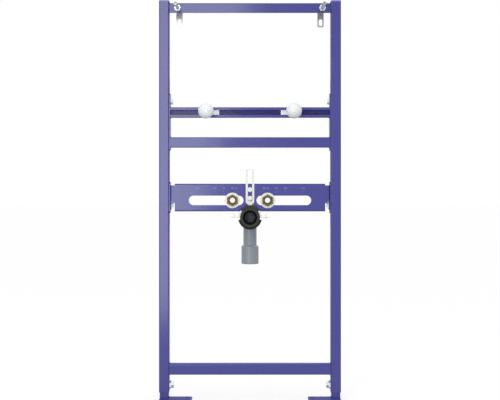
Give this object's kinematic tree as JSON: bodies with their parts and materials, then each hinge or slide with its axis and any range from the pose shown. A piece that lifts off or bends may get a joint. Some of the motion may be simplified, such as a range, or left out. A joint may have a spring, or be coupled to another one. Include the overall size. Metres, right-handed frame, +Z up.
{
  "type": "basin installation frame",
  "caption": "Free-standing steel installation frame for a wall-hung basin, with slotted stud rail, water and waste connections, wall rods and height-adjustable feet.",
  "frame": {"origin": "on the floor, below the middle of the frame's bounding box", "axes": "+X to the right seen from the basin side, +Y to the wall behind, +Z up"},
  "size_m": [0.516, 0.2294, 1.136],
  "materials": {
    "blue_powder_coat": "satin powder coat",
    "zinc_plated_steel": "bright zinc plating",
    "white_plastic": "glossy",
    "blue_plastic": "matte",
    "grey_plastic": "satin",
    "black_plastic": "matte",
    "black_rubber": "matte",
    "brass": "cast and turned"
  },
  "bodies": {
    "root": {"basin_rail": "blue_powder_coat", "bottom_bar": "blue_powder_coat", "left_basin_stud": "zinc_plated_steel", "left_carriage_nut": "zinc_plated_steel", "left_carriage_plate": "blue_powder_coat", "left_carriage_screw": "zinc_plated_steel", "left_clip_screw": "zinc_plated_steel", "left_leg": "blue_powder_coat", "left_leg_nut": "zinc_plated_steel", "left_leg_screw": "zinc_plated_steel", "left_rod_nut": "zinc_plated_steel", "left_slide_plate": "zinc_plated_steel", "left_stud_cap": "white_plastic", "left_stud_nut": "zinc_plated_steel", "left_tap_fitting": "brass", "left_tap_locknut": "brass", "left_tap_washer": "zinc_plated_steel", "left_traverse_bracket": "blue_powder_coat", "left_traverse_nut": "zinc_plated_steel", "left_traverse_screw": "zinc_plated_steel", "left_upright": "blue_powder_coat", "left_upright_cap": "blue_plastic", "left_wall_rod": "zinc_plated_steel", "left_wall_strap": "zinc_plated_steel", "lower_holder_bolt": "zinc_plated_steel", "right_basin_stud": "zinc_plated_steel", "right_carriage_nut": "zinc_plated_steel", "right_carriage_plate": "blue_powder_coat", "right_carriage_screw": "zinc_plated_steel", "right_clip_screw": "zinc_plated_steel", "right_leg": "blue_powder_coat", "right_leg_nut": "zinc_plated_steel", "right_leg_screw": "zinc_plated_steel", "right_rod_nut": "zinc_plated_steel", "right_slide_plate": "zinc_plated_steel", "right_stud_cap": "white_plastic", "right_stud_nut": "zinc_plated_steel", "right_tap_fitting": "brass", "right_tap_locknut": "brass", "right_tap_washer": "zinc_plated_steel", "right_traverse_bracket": "blue_powder_coat", "right_traverse_nut": "zinc_plated_steel", "right_traverse_screw": "zinc_plated_steel", "right_upright": "blue_powder_coat", "right_upright_cap": "blue_plastic", "right_wall_rod": "zinc_plated_steel", "right_wall_strap": "zinc_plated_steel", "stiffener_bar": "blue_powder_coat", "top_crossbar": "blue_powder_coat", "traverse_plate": "blue_powder_coat", "upper_holder_bolt": "zinc_plated_steel", "waste_bend": "grey_plastic", "waste_clip": "black_plastic", "waste_holder": "zinc_plated_steel", "waste_sleeve": "black_rubber"}
  },
  "joints": []
}
